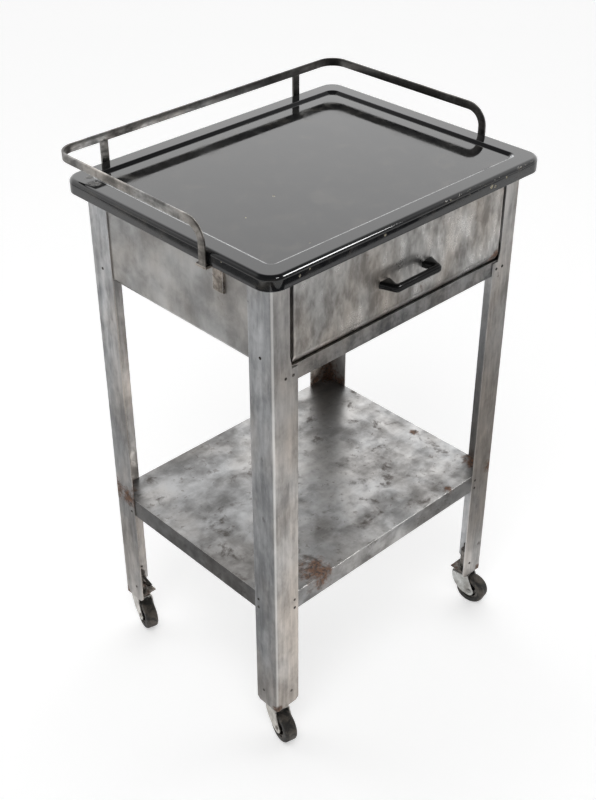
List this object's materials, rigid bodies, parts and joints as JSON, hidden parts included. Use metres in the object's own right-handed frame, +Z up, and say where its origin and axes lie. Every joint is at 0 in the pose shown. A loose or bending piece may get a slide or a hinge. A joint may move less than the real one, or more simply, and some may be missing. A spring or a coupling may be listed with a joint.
{
  "type": "instrument cart",
  "caption": "Small wheeled instrument cart with a black enamelled top inside a guard rail, a drawer with a bow handle, a lower shelf and swivel casters.",
  "frame": {"origin": "on the floor under the middle of the cart", "axes": "+Z up, -Y toward the drawer front, +X to the right when facing the drawer"},
  "size_m": [0.5192, 0.4172, 0.84],
  "materials": {
    "enamel_top": "glossy black porcelain enamel over steel, chipped at the edges",
    "leg_steel": "bare burnished steel with grey blotches",
    "panel_steel": "bare burnished steel with grey blotches",
    "rail_steel": "bare steel, stained",
    "shelf_steel": "bare steel, darkly stained, with rust at the corners",
    "bar_steel": "bare flat bar, darkened",
    "lug_steel": "bare bar with rust round it",
    "rivet_steel": "dark rivet heads",
    "clip_steel": "dark spring steel strip",
    "socket_steel": "dull plated steel",
    "drawer_front_steel": "bare steel, dimpled and burnished",
    "drawer_box_steel": "bare folded sheet",
    "handle_enamel": "gloss black",
    "screw_steel": "plated screw heads",
    "fork_steel": "dull plated pressed steel",
    "axle_steel": "plated steel",
    "hub_black": "black moulded core",
    "tyre_rubber": "black rubber, worn grey on the tread"
  },
  "bodies": {
    "frame": {"tabletop": "enamel_top", "leg_front_left": "leg_steel", "leg_front_right": "leg_steel", "leg_back_left": "leg_steel", "leg_back_right": "leg_steel", "side_panel_left": "panel_steel", "side_panel_right": "panel_steel", "back_panel": "panel_steel", "front_rail": "rail_steel", "upper_rail": "rail_steel", "drawer_runner_left": "rail_steel", "drawer_runner_right": "rail_steel", "shelf": "shelf_steel", "guard_rail": "bar_steel", "guard_posts": "bar_steel", "guard_lugs": "lug_steel", "frame_rivets": "rivet_steel", "shelf_rivets": "rivet_steel", "socket_front_left": "socket_steel", "socket_front_right": "socket_steel", "socket_back_left": "socket_steel", "socket_back_right": "socket_steel", "socket_clip": "clip_steel", "socket_rivets": "rivet_steel", "race_front_left": "socket_steel", "race_front_right": "socket_steel", "race_back_left": "socket_steel", "race_back_right": "socket_steel"},
    "drawer": {"drawer_front": "drawer_front_steel", "drawer_box": "drawer_box_steel", "drawer_handle": "handle_enamel", "handle_screws": "screw_steel", "drawer_stops": "drawer_box_steel"},
    "caster_front_left": {"stem_front_left": "fork_steel", "fork_front_left": "fork_steel", "axle_front_left": "axle_steel"},
    "wheel_front_left": {"hub_front_left": "hub_black", "tyre_front_left": "tyre_rubber"},
    "caster_front_right": {"stem_front_right": "fork_steel", "fork_front_right": "fork_steel", "axle_front_right": "axle_steel"},
    "wheel_front_right": {"hub_front_right": "hub_black", "tyre_front_right": "tyre_rubber"},
    "caster_back_left": {"stem_back_left": "fork_steel", "fork_back_left": "fork_steel", "axle_back_left": "axle_steel"},
    "wheel_back_left": {"hub_back_left": "hub_black", "tyre_back_left": "tyre_rubber"},
    "caster_back_right": {"stem_back_right": "fork_steel", "fork_back_right": "fork_steel", "axle_back_right": "axle_steel"},
    "wheel_back_right": {"hub_back_right": "hub_black", "tyre_back_right": "tyre_rubber"}
  },
  "joints": [
    {"name": "drawer_slide", "type": "slide", "parent": "frame", "child": "drawer", "axis": [0, -1, 0], "range_m": [0, 0.24]},
    {"name": "swivel_front_left", "type": "hinge", "parent": "frame", "child": "caster_front_left", "pos_m": [-0.215, -0.165, 0.06], "axis": [0, 0, 1], "continuous": true},
    {"name": "roll_front_left", "type": "hinge", "parent": "caster_front_left", "child": "wheel_front_left", "pos_m": [-0.21882, -0.18156, 0.025], "axis": [0.9744, -0.225, 0], "continuous": true},
    {"name": "swivel_front_right", "type": "hinge", "parent": "frame", "child": "caster_front_right", "pos_m": [0.215, -0.165, 0.06], "axis": [0, 0, 1], "continuous": true},
    {"name": "roll_front_right", "type": "hinge", "parent": "caster_front_right", "child": "wheel_front_right", "pos_m": [0.21824, -0.18169, 0.025], "axis": [0.9816, 0.1908, 0], "continuous": true},
    {"name": "swivel_back_left", "type": "hinge", "parent": "frame", "child": "caster_back_left", "pos_m": [-0.215, 0.165, 0.06], "axis": [0, 0, 1], "continuous": true},
    {"name": "roll_back_left", "type": "hinge", "parent": "caster_back_left", "child": "wheel_back_left", "pos_m": [-0.2194, 0.14858, 0.025], "axis": [0.9659, -0.2588, 0], "continuous": true},
    {"name": "swivel_back_right", "type": "hinge", "parent": "frame", "child": "caster_back_right", "pos_m": [0.215, 0.165, 0.06], "axis": [0, 0, 1], "continuous": true},
    {"name": "roll_back_right", "type": "hinge", "parent": "caster_back_right", "child": "wheel_back_right", "pos_m": [0.21441, 0.14801, 0.025], "axis": [0.9994, -0.0349, 0], "continuous": true}
  ]
}
